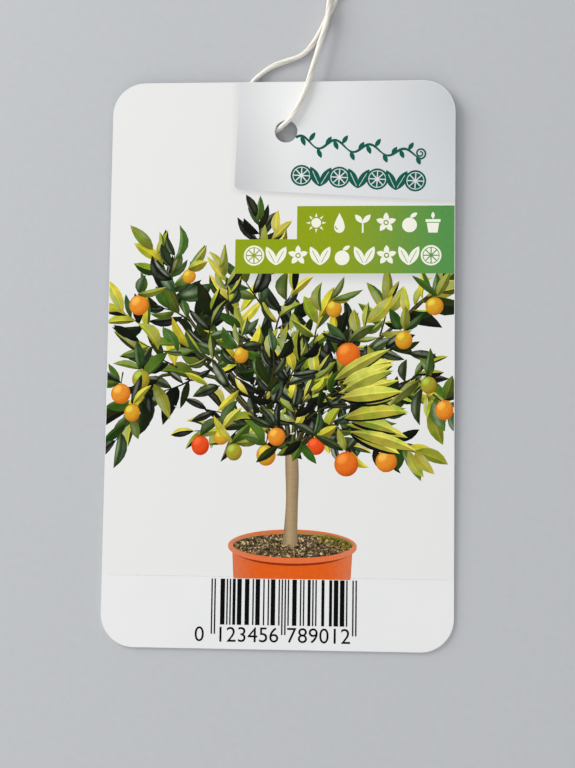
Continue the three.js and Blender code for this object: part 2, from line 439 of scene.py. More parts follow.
# %% [markdown]
# ## The die-cut card
# Such tags are punched from white film half a millimetre thick. One blow cuts the outline, the hole
# and the row of fine slits along which the strip with the bars is torn off. So the piece is a flat
# sheet cut along those outlines. Solidify gives it its thickness, and a very small Bevel the soft
# edge that a steel rule leaves. It leans on the string under its top edge.

# %% Outlines on the card
CARD_WIDTH, CARD_LENGTH, CARD_THICKNESS, CORNER_RADIUS = 76.0, 124.5, 0.5, 7.2
HOLE_RADIUS, HOLE_X, HOLE_Y = 2.5, 0.8, 51.0
PERFORATION_Y, SLIT_LENGTH, SLIT_WIDTH, SLIT_PITCH, SLIT_MARGIN = -46.9, 1.05, 0.014, 1.5, 1.1
CARD_BOTTOM = -CARD_LENGTH / 2
RAISED = 1.5  # the underside at the hole: the string, and a little air
CARD_TILT = math.asin(RAISED / (HOLE_Y - CARD_BOTTOM))


def onto_card(flat, lift=0.0):
    """Points (x, y) on the printed face, raised by lift, and turned with the card about its bottom
    edge: y' = bottom + d cos t - h sin t and z' = d sin t + h cos t, for distance d, height h."""
    along = flat[:, 1] - CARD_BOTTOM
    height = CARD_THICKNESS + lift
    c, s = math.cos(CARD_TILT), math.sin(CARD_TILT)
    return np.column_stack([flat[:, 0], CARD_BOTTOM + along * c - height * s, along * s + height * c])


def arc(x, y, radius_x, radius_y, start, end, count):
    """Points on an ellipse from one angle to another, in degrees."""
    angle = np.radians(np.linspace(start, end, count))
    return np.column_stack([x + radius_x * np.cos(angle), y + radius_y * np.sin(angle)])


def oval(x, y, radius_x, radius_y, count):
    """A whole ellipse, without its first point again at the end."""
    return arc(x, y, radius_x, radius_y, 0, 360, count + 1)[:-1]


def box(x0, y0, x1, y1):
    """A rectangle from its lower left to its upper right corner."""
    return np.array([(x0, y0), (x1, y0), (x1, y1), (x0, y1)], float)


def rounded_card(inset):
    """Four quarter circles about the corners' centres, with their radius less the inset."""
    x, y = CARD_WIDTH / 2 - CORNER_RADIUS, CARD_LENGTH / 2 - CORNER_RADIUS
    radius = CORNER_RADIUS - inset
    corners = ((x, y, 0), (-x, y, 90), (-x, -y, 180), (x, -y, 270))
    return np.vstack([arc(cx, cy, radius, radius, a, a + 90, 25) for cx, cy, a in corners])


def punched(margin=0.0):
    """The hole's circle, wider by a margin."""
    return oval(HOLE_X, HOLE_Y, HOLE_RADIUS + margin, HOLE_RADIUS + margin, 64)


def cut_plane(outlines):
    """Triangles of the plane cut along closed outlines, each with the outlines that it lies in. An
    outline whose area, half the sum of x y' - x' y, comes out negative is turned round first."""
    points, rings = [], []
    for outline in outlines:
        x, y = outline.T
        clockwise = np.dot(x, np.roll(y, -1)) < np.dot(y, np.roll(x, -1))
        rings.append(list(range(len(points), len(points) + len(outline))))
        points += [tuple(point) for point in (outline[::-1] if clockwise else outline)]
    points, _, faces, _, _, inside = delaunay_2d_cdt(points, [], rings, 1, 1e-5, True)
    return np.array([tuple(point) for point in points]), np.array(faces), inside


slit_room = CARD_WIDTH - 2 * SLIT_MARGIN - SLIT_LENGTH
gaps = int(slit_room // SLIT_PITCH)
one_slit = box(-SLIT_LENGTH / 2, -SLIT_WIDTH / 2, SLIT_LENGTH / 2, SLIT_WIDTH / 2)
slits = [one_slit + (x, PERFORATION_Y) for x in (np.arange(gaps + 1) - gaps / 2) * SLIT_PITCH]
sheet_points, sheet_faces, inside = cut_plane([rounded_card(0), punched()] + slits)
sheet_faces = sheet_faces[[row == [0] for row in inside]]
print("slits:", len(slits), "sheet triangles:", len(sheet_faces))

# %% [markdown]
# Polypropylene film is a cool, slightly grey white. A satin varnish lies over the whole front, so
# card and ink share one surface: a soft reflection, broken by a faint orange peel of the coating.
# That surface is made once, and every ink below uses it. Real orange peel is about 0.6 mm across.

# %% White film under satin varnish
def satin_varnish(add, shader):
    """Roughness that wanders between 0.34 and 0.46, and a bump of 0.6 mm cells, 3 microns deep."""
    place = add("TexCoord").outputs["Object"]
    peel = add("TexNoise", place, 1 / (0.6 * MM), 1.0)
    clouds = add("TexNoise", place, 1 / (14 * MM), 3.0)
    polish = add("MapRange", clouds, 0.3, 0.7, 0.34, 0.46)
    relief = add("Bump", inputs={"Strength": 0.5, "Distance": 0.003 * MM, "Height": peel})
    wire(shader, {"Roughness": polish, "Normal": relief})
    return place, clouds


VARNISHED = {"IOR": 1.49, "Specular IOR Level": 0.06}
FILM_WHITE = "#ecece9"


def polypropylene_film():
    """Calendered white polypropylene: cool white, with cloudy variations of a few per cent."""
    material, add, shader = new_material("white_polypropylene_film", VARNISHED)
    _, clouds = satin_varnish(add, shader)
    wire(shader, {"Base Color": add("Mix", clouds, linear("#eaeae9"), linear("#f0f0ee"), **COLOURS)})
    return material


sheet = onto_card(sheet_points)
card = make_piece("die_cut_card", sheet, sheet_faces, [polypropylene_film()], "card", ["tag_card"])
thick = card.modifiers.new("thickness", "SOLIDIFY")
thick.thickness, thick.offset = CARD_THICKNESS * MM, -1
edge = card.modifiers.new("rule_edge", "BEVEL")
edge.width, edge.segments = 0.1 * MM, 3
edge.limit_method, edge.angle_limit = "ANGLE", math.radians(50)
print("card stands", round(onto_card(np.array([(0, CARD_LENGTH / 2)]))[0, 2], 2), "mm high at its top edge")

# %% [markdown]
# ## A picture in ink
# The front shows a potted citrus tree, a pale panel and two green banners. Ink has no thickness, so
# stacked cut-outs would be wrong. Instead one flat sheet, 0.015 mm above the film, is cut along
# every shape's outline. The shapes are listed from the back to the front, as a printer lays them
# down, and each triangle belongs to the last shape that covers it. Every shape brings its ink and a
# small map from the card's millimetres to its own u and v, so one material draws every leaf's ribs.

# %% The picture's list of shapes
FILM, PANEL, BANNER, LEAF, FRUIT, BARK, POT, FLAT = range(8)
CARD_MAP = ((1, 0, 0), (0, 1, 0))
shapes = []


def lay_shape(outline, finish, ink, sheen=0.0, own_map=CARD_MAP, bend=0.0):
    """Its map's two rows (a, b, c) give u and v as a x + b y + c."""
    shapes.append((np.asarray(outline, float), finish, (*ink, sheen), own_map, bend))


def palette(hex_colours):
    """Inks for shapes, as arrays of red, green and blue, so that they can be mixed and shaded."""
    return [np.array(linear(hex_colour)[:3]) for hex_colour in hex_colours.split()]


def mixed(first, second, share):
    """Two inks mixed: the first times 1 - share, plus the second times share."""
    return first * (1 - share) + second * share


def round_map(x, y, half_width, half_height):
    """u and v run from -1 to 1 across an oval."""
    return (1 / half_width, 0, -x / half_width), (0, 1 / half_height, -y / half_height)


# %% [markdown]
# ## Leaves
# A citrus leaf is a pointed, waxy blade, folded along its midrib, so each is laid down as two halves.
# The half that faces the light, at the upper left, is paler and yellower, and the other one is dark.
# That contrast, more than any vein, makes a leaf read as a leaf at this size.

# %% One leaf
LIGHT_FROM = np.array([-0.55, 0.835])
STATIONS = np.array([0, 0.1, 0.26, 0.45, 0.64, 0.82, 1])
BLADE = np.array([0, 0.46, 0.86, 1.0, 0.88, 0.54, 0])
(SUNNY,) = palette("#b4b540")


def left_of(way):
    """A quarter turn to the left: (x, y) becomes (-y, x)."""
    return np.array([-way[1], way[0]])


def lay_leaf(
    base, way, length, width, ink, sunny=None, bend=0.0, fold=1.0, sheen=0.0, turned=1.0, belly=1.0
):
    """Along the leaf, a share t of its length; across it, bend * length * 4 t (1 - t) for the
    midrib, plus or minus the blade's half width at t ** belly. `turned` narrows the half that is
    seen edge on, and `sunny` is another ink for the half that faces the light. On the map, u runs
    from 0 to 1 along the leaf, and v from 0 at the midrib to 1 at the margin."""
    way = unit(way)
    across = left_of(way)
    t = STATIONS[:, None]
    midrib = base + way * t * length + across * bend * length * 4 * t * (1 - t)
    facing = float(np.dot(across, LIGHT_FROM))
    blade = np.interp(STATIONS**belly, STATIONS, BLADE)[:, None]
    for side in (1, -1):
        half = width * (turned if side > 0 else 2 - turned) / 2
        margin = midrib + across * side * half * blade
        lit = fold * side * facing
        tint = ink if sunny is None or lit < 0 else sunny
        tint = tint + (SUNNY * tint.sum() / SUNNY.sum() - tint) * max(lit, 0) * 0.35
        tint = tint * (1 + (0.35 * lit if lit > 0 else 0.55 * lit))
        u = (*(way / length), -np.dot(way, base) / length)
        v = (*(across / half), -np.dot(across, base) / half)
        outline = np.vstack([midrib, margin[-2:0:-1]])
        shine = sheen * (1.0 if lit > 0 else 0.2)
        lay_shape(outline, LEAF, np.clip(tint, 0.004, 1), shine, (u, v), bend * length / half)


# %% [markdown]
# ## A tree grown by rule
# A standard citrus has a bare trunk and a round, open head. Its boughs carry separate clouds of
# leaves, with daylight between them. The rule here walks up each bough and sets sprays left and
# right in turn, with one straight on at its end, and leaves along a spray in the same way. Those at
# the back and deep inside are nearly black. In front they are greener, many catch the light on one
# half, and some are lime new growth.

# %% Boughs
rng = np.random.default_rng(12)
CROWN_FOOT = np.array([2.9, -21.0])
BOUGHS = (  # points on the card, spread of the sprays, their number, and how far they turn up
    ([(0, -13), (-9, -5), (-17, 5), (-22, 12), (-26.5, 20)], 1.8, 8, 0.4),
    ([(-13, -4), (-22, -2), (-30, -5), (-32.5, -12)], 1.6, 6, -0.1),
    ([(-14, -2), (-23, 3), (-31, 7.5)], 1.0, 3, 0.2),
    ([(-3, -8), (-8, 3), (-11, 9), (-12.5, 14)], 1.5, 4, 0.4),
    ([(1, -8), (-1, 4), (-4, 14), (-5.2, 27)], 1.4, 6, 0.5),
    ([(4, -8), (6, 0), (8.5, 5.5)], 1.6, 3, 0.5),
    ([(8, -9), (15, -1), (23, 6), (29, 11), (33, 15)], 1.6, 6, 0.4),
    ([(12, -11), (22, -7), (30, -3.5), (35, -9)], 1.6, 6, 0.0),
    ([(9, -6), (14, 0.5), (16.5, 4.5)], 1.5, 2, 0.5),
    ([(-1, -14), (-8, -12), (-14, -14)], 1.6, 4, -0.1),
    ([(8, -14), (17, -14.5), (26, -17)], 1.6, 4, -0.2),
    ([(2, -17), (-1, -12), (2, -3)], 3.0, 5, 0.1),
    ([(4, -18), (7, -11), (11, -5)], 3.0, 5, 0.1),
)
SHADOW_BOUGHS = (
    ([(-5, -13), (-3, -4), (-1, 2)], 3, 5, 0.2), ([(3, -16), (5, -6), (4, 2)], 4, 6, 0.2),
    ([(8, -13), (12, -5), (15, 1)], 2, 3, 0.2), ([(-21, 6), (-23, 11), (-24, 14)], 1, 2, 0.2),
)
DARK = palette("#101405 #1a1f09 #1e2a0b #25330d #161806")
GREEN = palette("#2c4a18 #3b5c1c #4c6b20 #35522c #586822")
YOUNG = palette("#858a28 #a2a133 #b9ac2e #c8ba3c #94952f")
TWIG, LIT_TWIG = palette("#4a4526 #625c38")


def along_line(points, share):
    """The point at a share of a line's length, and the unit direction there."""
    points = np.asarray(points, float)
    gone = distances(points)
    number = min(np.searchsorted(gone, share * gone[-1], "right"), len(points) - 1) - 1
    at = np.array([np.interp(share * gone[-1], gone, points[:, axis]) for axis in (0, 1)])
    return at, unit(points[number + 1] - points[number])


def ribbon(points, widths):
    """A band along a line, of one full width or a width at each point."""
    points = np.asarray(points, float)
    ahead = unit(np.gradient(points, axis=0))
    across = left_of(ahead.T).T * np.broadcast_to(widths, len(points))[:, None] / 2
    return np.vstack([points - across, (points + across)[::-1]])


def lay_twig(points, thick, ink):
    """A ribbon that gets evenly thinner, down to half."""
    lay_shape(ribbon(points, thick * np.linspace(1, 0.5, len(points))), FLAT, ink)


# %% Blossom
PETAL_TURN = 1.257  # a fifth of a turn
(PETAL_WHITE,) = palette("#f0f1e6")


def rotated(way, angle):
    """A vector, or rows of them, turned anticlockwise by an angle in radians."""
    c, s = math.cos(angle), math.sin(angle)
    return np.asarray(way) @ np.array([(c, s), (-s, c)])


def lay_blossom(x, y):
    """Up to five white petals round (x, y), foreshortened by a random tilt, 0.5 to 0.9 mm each."""
    tilt, spin = rng.uniform(0.35, 1), rng.uniform(0, np.pi)
    for petal in range(rng.integers(2, 6)):
        turn = petal * PETAL_TURN + rng.normal(0, 0.2)
        reach = rng.uniform(0.5, 0.9)
        outline = rotated(oval(reach * 0.55, 0, reach / 2, reach * 0.3, 9), turn)
        outline = rotated(outline * (1, tilt), spin) + (x, y)
        lay_shape(outline, FLAT, PETAL_WHITE * rng.uniform(0.75, 1))


# %% Sprays of leaves
def lay_spray(foot, heading, depth, youth):
    """A stem, pushed sideways by a share of 4 t (1 - t), with leaves on both sides. depth 0 is the
    back, 1 the front; youth is the share of new leaves, more at the tip."""
    t = np.linspace(0, 1, 6)[:, None]
    way = heading * rng.uniform(6.5, 10.5)
    stem = foot + way * t + left_of(way) * rng.uniform(-0.12, 0.12) * 4 * t * (1 - t)
    lay_twig(stem, 0.42, mixed(TWIG, DARK[0], 1 - 0.7 * depth))
    buried = np.clip(1.25 - np.linalg.norm(foot - CROWN_FOOT) / 26, 0, 1)
    count = rng.integers(5, 10)
    for number in range(count):
        share = 0.08 + 0.92 * number / (count - 1)
        at, _ = along_line(stem, share)
        side = 1 if number % 2 else -1
        way = rotated(heading, side * rng.uniform(0.4, 1.25) * (1.15 - 0.85 * share))
        shades = GREEN if rng.random() < 0.2 + 0.5 * depth - 0.3 * buried else DARK
        ink = shades[rng.integers(5)] * (0.72 + 0.38 * depth) * (1 - 0.3 * buried)
        new = rng.random() / (0.45 + 0.8 * share)
        tender = YOUNG[rng.integers(5)] * rng.uniform(0.8, 1.15)
        if new < youth * 0.45:
            ink = tender
        long = rng.uniform(3.8, 7.2) + 2.6 * (1 - buried) * rng.random()
        lay_leaf(
            at, way, long, long * rng.uniform(0.24, 0.42), ink * rng.uniform(0.7, 1.35),
            sunny=tender if new < youth else None,
            bend=side * rng.normal(0.05, 0.07), fold=rng.uniform(0.35, 1.3),
            sheen=rng.uniform(0.3, 1.0) * (rng.random() < 0.6) * (0.5 + 0.5 * depth),
            turned=rng.choice([rng.uniform(0.35, 0.8), rng.uniform(0.8, 1.2), rng.uniform(1.2, 1.65)]),
            belly=rng.uniform(0.75, 1.3),
        )


def plan_sprays(bough, spread, count, lift, depth_range, newest):
    """Sprays along one bough: foot, heading, depth and youth, with sides that take turns."""
    rows = []
    for number in range(count):
        share = 0.12 + 0.88 * number / (count - 1)
        at, ahead = along_line(bough, share)
        across = left_of(ahead) * (1 if number % 2 else -1)
        aside = rng.uniform(0.5, 1.2) * min(1, 2.2 * (1 - share))
        way = ahead + across * aside + (0, lift * rng.uniform(0.2, 1.2)) + rng.normal(0, 0.12, 2)
        foot = at - ahead * 2.5 + across * rng.uniform(0, spread) * (1 - share)
        youth = newest * rng.choice([0.05, 0.45, 0.8, 1.0]) * (0.6 + 0.4 * share)
        youth *= 0.75 + 0.03 * max(foot[1], 0) + 0.012 * max(foot[0], 0)
        rows.append((foot, unit(way), rng.uniform(*depth_range), youth))
    return rows


for bough, *_ in BOUGHS:
    line = np.vstack([CROWN_FOOT, bough])
    line = np.array([along_line(line, share)[0] for share in np.linspace(0, 1, 9)])
    lay_twig(line, 1.2, mixed(TWIG, DARK[0], 0.55))
    lay_twig(line + (-0.15, 0.12), 0.4, LIT_TWIG)
for row in SHADOW_BOUGHS:
    for spray in plan_sprays(*row, (0.0, 0.05), 0.0):
        lay_spray(*spray)
sprays = [spray for row in BOUGHS for spray in plan_sprays(*row, (0.1, 1.0), 1.0)]
flowers = rng.uniform((-29, -17), (32, 9), (34, 2))
sprays.sort(key=lambda spray: spray[2])
for number, spray in enumerate(sprays):
    lay_spray(*spray)
    if number >= len(sprays) - len(flowers):
        lay_blossom(*flowers[number - len(sprays)])
print("sprays:", len(sprays), "leaf halves:", sum(shape[1] == LEAF for shape in shapes))

# %% [markdown]
# ## Fruit
# The small oranges hang mostly at the rim and low down. Each is one disc. Its roundness, highlight
# and pores come from its material, because u and v say where on the ball each point is. A few
# leaves are laid over it, so that it sits in the foliage.

# %% Fruits among the leaves
RIPE, DEEP, RED, TURNING, LIME = palette("#ea912c #e97422 #ea501e #dba22a #a89e2e")
FRUITS = (  # x, y, diameter and ink
    (-34.8, -7.4, 4.3, RIPE), (-30.4, -4.2, 3.9, LIME), (-32.2, -11.6, 3.5, TURNING),
    (-31.2, 12.2, 4.4, RIPE), (-20.2, 18.6, 3.0, TURNING), (-17.0, -18.6, 3.9, RED),
    (-12.4, -16.8, 3.2, TURNING), (-9.6, -20.0, 3.5, LIME), (-2.6, -20.6, 4.2, TURNING),
    (-0.4, -16.6, 3.8, RIPE), (8.2, -18.6, 3.8, RED), (14.8, -22.4, 5.2, DEEP),
    (23.4, -21.8, 4.6, RIPE), (15.0, 1.4, 5.2, DEEP), (21.8, -5.0, 3.7, LIME),
    (11.8, 11.4, 3.5, TURNING), (27.0, 4.6, 3.8, TURNING), (33.6, 12.0, 3.9, TURNING),
    (32.4, -5.2, 3.5, LIME), (35.8, -10.6, 3.9, RIPE), (-8.4, 1.2, 3.2, TURNING),
)
for x, y, diameter, ink in FRUITS:
    wide = diameter / 2
    tall = wide * rng.uniform(0.98, 1.12)
    lay_twig([(x + 0.4, y + tall * 2.1), (x + 0.15, y + tall * 1.4), (x, y + tall * 0.8)], 0.35, TWIG)
    lay_shape(oval(x, y, wide, tall, 28), FRUIT, ink, 1.0, round_map(x, y, wide, tall))
    for _ in range(3):
        heading = np.array([rng.uniform(-1, 1), rng.uniform(0.05, 0.9)])
        start = np.array([x, y]) + (rng.uniform(-0.8, 0.8), diameter * 0.55)
        shades = (DARK, GREEN, GREEN, YOUNG)[rng.integers(4)]
        lay_leaf(
            start, heading, rng.uniform(4.5, 7.5), rng.uniform(1.4, 2.5), shades[rng.integers(5)],
            bend=rng.uniform(-0.1, 0.1), sheen=rng.uniform(0, 0.6), turned=rng.uniform(0.5, 1.5),
        )
print("fruits:", len(FRUITS), "shapes so far:", len(shapes))

# %% [markdown]
# Low on the right, one bough carries a burst of new growth. Its long lime leaves lie over the rest
# like the fingers of a hand.

# %% A burst of new leaves
(FRESH,) = palette("#cdcc62")
fan = np.random.default_rng(4)
for number in fan.permutation(12):
    way = rotated((1, 0), math.radians(34 - 5.5 * number + fan.normal(0, 5)))
    start = np.array([12.6, -3.6]) + fan.normal(0, 0.9, 2) + (0.25 * number, -1.12 * number)
    long, wide = fan.uniform(10, 16), fan.uniform(2.5, 3.5)
    bend = fan.uniform(-0.02, 0.09)
    tender = mixed(YOUNG[1 + number % 3], FRESH, 0.25)
    sunny = mixed(tender, FRESH, fan.uniform(0.1, 0.8))
    lay_leaf(start + (0.1, -0.4), way, long * 0.96, wide, DARK[number % 5], bend=bend)
    lay_leaf(
        start, way, long, wide, tender * fan.uniform(0.75, 1.0), sunny=sunny,
        bend=bend, fold=fan.uniform(0.2, 0.5), turned=fan.uniform(0.7, 1.3), belly=fan.uniform(0.85, 1.15),
    )
print("shapes so far:", len(shapes))

# %% [markdown]
# ## The pot
# A clay-red pot is all ellipses: its mouth, its soil, its rim. Laid down in order, from the inside
# wall to the front of the rim, they hide each other as they should. The soil is bark and peat, drawn
# as many chips, from near black to straw, with moss on one side, and some lie against the trunk's
# foot. The pot's front runs on a little below the perforation, to where the bars begin.

# %% Mouth of the pot, and soil
POT_X, POT_Y, MOUTH_HALF, MOUTH_DEPTH = 3.35, -40.07, 13.9, 3.5
PRINT_FOOT, POT_FOOT, POT_FOOT_HALF = PERFORATION_Y + 0.1, -47.2, 12.6
CLAY, LIP, SHADED_CLAY, INNER_WALL = palette("#e4611b #ea7440 #93300f #ca7848")
SOIL = palette("#201910 #382c1e #564632 #6f5940 #7f6b47 #977f54 #a58e66 #bda26e #dac795")
STRAW, ALGAE, PEAT, BROWN_BARK = palette("#aa8650 #8b7a30 #4c3f2e #b09672")
MOSS = palette("#626220 #8a7e22 #ab9438 #7c6e2a")
ROUND_POT = round_map(POT_X, POT_Y, MOUTH_HALF, MOUTH_DEPTH)


def pot_arc(raised, half_width, depth, start=180, end=360, count=41):
    """Part of an ellipse about the mouth's middle, raised; by itself, the front half."""
    return arc(POT_X, POT_Y + raised, half_width, depth, start, end, count)


def lay_chip(x, y, shades):
    """A four-cornered chip, 0.1 to 1 mm long, in darker and lighter drifts of soil."""
    chance = np.clip(rng.random() ** 1.25 + 0.12 * math.sin(1.3 * x + 2 * math.sin(y * 2.1)), 0, 0.999)
    way = rotated((1, 0), rng.normal(0, 0.9)) * rng.uniform(0.08, 0.38)
    up = left_of(way) * rng.uniform(0.3, 0.8)
    chip = np.array([way, up, -way, -up]) * rng.uniform(0.6, 1.3, (4, 1)) + (x, y)
    lay_shape(chip, FLAT, shades[int(chance * len(shades))])


lay_shape(pot_arc(0, MOUTH_HALF, MOUTH_DEPTH, 0, 360, 73)[:-1], POT, LIP, 0, ROUND_POT)
lay_shape(pot_arc(0.2, 13.15, 3.0, 0, 360, 73)[:-1], POT, INNER_WALL, 0, ROUND_POT)
for start, end, stain in ((52, 91, STRAW), (-8, 56, ALGAE)):
    lay_shape(np.vstack([pot_arc(0.1, 13.1, 2.9, start, end, 16), (POT_X, POT_Y)]), FLAT, stain)
lay_shape(pot_arc(-0.1, 12.8, 2.58, 0, 360, 73)[:-1], FLAT, PEAT)
for _ in range(1500):
    turn, out = rng.uniform(0, 2 * np.pi), math.sqrt(rng.uniform(0, 1))
    x, y = POT_X + 12.6 * out * math.cos(turn), POT_Y - 0.1 + 2.5 * out * math.sin(turn)
    mossy = x > POT_X + 5.0 and y > POT_Y - 1.2 + 0.3 * (POT_X + 12.5 - x)
    lay_chip(x, y, MOSS if mossy and rng.random() < 0.7 else SOIL)
print("shapes so far:", len(shapes))

# %% Trunk, and front of the pot
t = np.linspace(0, 1, 15)[:, None]
middle = np.hstack([2.95 + 0.2 * np.sin(4.2 * t) + 0.1 * t, -20.5 - 19.6 * t])
half = 1.38 + 0.07 * np.sin(9 * t) + 0.2 * np.clip(t - 0.8, 0, 1) * 5
trunk = np.vstack([middle - half * (1, 0), (middle + half * (1, 0))[::-1]])
lay_shape(trunk, BARK, BROWN_BARK, 0, round_map(3.2, 0, 1.4, 1.4))
for number in range(7):
    way = rotated((1, 0), math.radians(rng.uniform(190, 350)))
    start = np.array([2.9, -19.0]) + rng.uniform((-3, 0), (3, 1.5))
    lay_leaf(start, way, rng.uniform(4.5, 6.5), 1.9, (GREEN, DARK)[number % 2][number % 5])
for _ in range(60):
    aside = rng.uniform(-1, 1)
    lay_chip(2.88 + 1.9 * aside, -40.15 + 0.35 * aside**2 + rng.normal(0, 0.08), SOIL)

pot_feet = [(POT_X + POT_FOOT_HALF, POT_FOOT - 1), (POT_X - POT_FOOT_HALF, POT_FOOT - 1)]
lay_shape(np.vstack([pot_arc(-0.4, 13.0, 3.3), pot_feet]), POT, CLAY, 0, ROUND_POT)
shade_top = pot_arc(-0.35, 12.85, 3.45, 185, 355)
lay_shape(np.vstack([shade_top, (shade_top - (0, 0.5))[::-1]]), POT, SHADED_CLAY, 0, ROUND_POT)
lip = np.vstack([pot_arc(0.25, 13.05, 2.85), pot_arc(-0.3, 13.88, 3.5)[::-1]])
lay_shape(lip, POT, LIP, 0.6, ROUND_POT)
print("shapes so far:", len(shapes))

# %% [markdown]
# ## Panel and banners
# Over the picture lie a pale panel with a slanting lower edge, at the top right, and two green
# banners like paper strips, one behind the other. They run past the cut at the card's right edge.

# %% Panel and banners
PANEL_LEFT, PANEL_ROUND, BEYOND = -10.5, 1.3, 39
PANEL_SLOPE = (35.25 - 37.7) / (37.9 + 5)
SILVER, BANNER_GREEN = palette("#e9ebeb #7d9f33")


def panel_edge(x):
    """The height of the slanting lower edge: 37.7 mm at x = -5, and from there by its slope."""
    return 37.7 + (x + 5) * PANEL_SLOPE


corner_x = PANEL_LEFT + PANEL_ROUND
corner = arc(corner_x, panel_edge(corner_x) + PANEL_ROUND, PANEL_ROUND, PANEL_ROUND, 180, 268, 8)
right_side = [(BEYOND, panel_edge(BEYOND)), (BEYOND, 63)]
lay_shape(np.vstack([(PANEL_LEFT + 0.93, 63), corner, right_side]), PANEL, SILVER)
lay_shape(box(3.5, 26.8, BEYOND, 34.2), BANNER, BANNER_GREEN)
lay_shape(box(-10.05, 19.2, BEYOND, 26.82), BANNER, BANNER_GREEN)
print("shapes in all:", len(shapes))

# %% [markdown]
# ## From the list to one sheet
# Cutting the plane along thousands of outlines at once is slow: the work grows with the square of
# their number. So it is cut tile by tile. A tile takes only the shapes that reach it, and keeps only
# its own triangles. Inks and maps are then looked up for all corners at once.

# %% Cut the sheet
TILE, RIM = 7.7, 0.13


def cut_picture(outlines, frame_outline, hole):
    """Triangles of all tiles, each with the number of the topmost shape that covers it, or -1."""
    low = np.array([outline.min(axis=0) for outline in outlines])
    high = np.array([outline.max(axis=0) for outline in outlines])
    corners, owners = [], []
    for x0 in np.arange(-CARD_WIDTH / 2, CARD_WIDTH / 2, TILE):
        for y0 in np.arange(POT_FOOT, CARD_LENGTH / 2, TILE):
            x1, y1 = x0 + TILE, y0 + TILE
            here = np.flatnonzero((low < (x1, y1)).all(axis=1) & (high > (x0, y0)).all(axis=1))
            cuts = [box(x0, y0, x1, y1), frame_outline, hole] + [outlines[k] for k in here]
            points, faces, inside = cut_plane(cuts)
            kept = [k for k, row in enumerate(inside) if 0 in row and 1 in row and 2 not in row]
            corners.append(points[faces[kept]].reshape(-1, 2))
            top = np.array([max(inside[k]) for k in kept], int)
            owners.append(np.where(top > 2, np.append(here, -1)[np.maximum(top - 3, -1)], -1))
    return np.vstack(corners), np.concatenate(owners)


upper_rim = rounded_card(RIM)
upper_rim = upper_rim[upper_rim[:, 1] > 0]
left, right, side = POT_X - POT_FOOT_HALF, POT_X + POT_FOOT_HALF, CARD_WIDTH / 2 - RIM
lower_rim = [(-side, PRINT_FOOT), (left, PRINT_FOOT), (left, POT_FOOT)]
lower_rim += [(right, POT_FOOT), (right, PRINT_FOOT), (side, PRINT_FOOT)]
bare_film = (None, FILM, (*linear(FILM_WHITE)[:3], 0), CARD_MAP, 0)
outlines, finishes, inks, maps, bends = zip(*shapes, bare_film)
corners, owners = cut_picture(outlines[:-1], np.vstack([upper_rim, lower_rim]), punched(0.11))
area = np.abs(np.cross(corners[1::3] - corners[::3], corners[2::3] - corners[::3])) / 2
print("triangles:", len(owners), "area, mm2:", round(float(area.sum()), 1))

# %% [markdown]
# ## Printing inks
# Offset ink is thin and takes the varnish's surface. What differs is the colour, and that is what
# each ink's nodes draw: film with the soft printed shadows of panel and banner, the panel's silvery
# gradient, the banners' change from lime to sea green, and leaf, fruit, bark and clay.

# %% What all inks share
def printed_ink(name, draw):
    """The varnish, over a colour that is drawn from places on the card and each shape's numbers."""
    material, add, shader = new_material(name, VARNISHED)
    place, _ = satin_varnish(add, shader)
    wire(shader, {"Base Color": draw(add, place)})
    return material


def in_millimetres(add, place):
    """x, y and z on the card, for inks that change over its face."""
    return add("SeparateXYZ", add("VectorMath", place, 1 / MM, operation="SCALE")).outputs


def carried_ink(add):
    """A shape's own ink: its colour, and as Alpha how much it shines."""
    return add("Attribute", attribute_name="ink").outputs


def carried_map(add):
    """A shape's own u and v, and its bend."""
    return add("SeparateXYZ", add("Attribute", attribute_name="shape").outputs["Vector"]).outputs


# %% Film, panel and banners
def film_with_shadows(add, place):
    """Bare film, with the soft shadows that are printed under the panel and the lower banner."""
    x, y, _ = in_millimetres(add, place)
    slant = add("Math", x, PANEL_SLOPE, panel_edge(0), **TIMES_PLUS)
    fade = add("MapRange", add("Math", slant, y, **LESS), 0.0, 1.6, 0.24, 0.0, **SMOOTH)
    panel_shadow = add("Math", fade, add("MapRange", x, -11.5, -8.0), **TIMES)
    drop = add("MapRange", y, 15.9, 19.2, 0.0, 0.24, **SMOOTH)
    lowest = add("Math", drop, add("Math", y, 20.0, operation="LESS_THAN"), **TIMES)
    banner_shadow = add("Math", lowest, add("MapRange", x, -10.6, -6.5), **TIMES)
    shadow = add("Math", panel_shadow, banner_shadow, operation="ADD")
    return add("Mix", shadow, linear(FILM_WHITE), linear("#5f6468"), **COLOURS)


def silver_panel(add, place):
    """Screened grey on white film: a silvery sheet whose sheen runs from corner to corner. It is
    darkest at its left edge, most of all low down, and to the right at the top."""
    x, y, _ = in_millimetres(add, place)
    from_left = add("MapRange", x, -11.5, 2.5, **SMOOTH)
    paler = add("Mix", from_left, linear("#dddede"), linear("#f3f3f2"), **COLOURS)
    cooler = add("Mix", add("MapRange", x, 2.5, 38.0), paler, linear("#cdd0d2"), **COLOURS)
    lean = add("Math", x, 0.0058, -0.116, **TIMES_PLUS)
    sheen = add("Math", lean, add("MapRange", y, 57.0, 39.5), 1.0, **TIMES_PLUS)
    screen = add("TexNoise", place, 1 / (0.35 * MM), 1.0)
    cover = add("Math", sheen, add("MapRange", screen, 0.3, 0.7, 0.98, 1.0), **TIMES)
    return add("Mix", 1.0, cooler, cover, **TINTED)


def green_banner(add, place):
    """Two process greens blended along the banner, with the mottle of a printed solid."""
    along = add("MapRange", in_millimetres(add, place)[0], 8.0, 40.0, **SMOOTH)
    blend = add("Mix", along, linear("#93a51a"), linear("#549650"), **COLOURS)
    mottle = add("TexNoise", place, 1 / (0.5 * MM), 2.0)
    return add("Mix", 1.0, blend, add("MapRange", mottle, 0.3, 0.7, 0.95, 1.03), **TINTED)


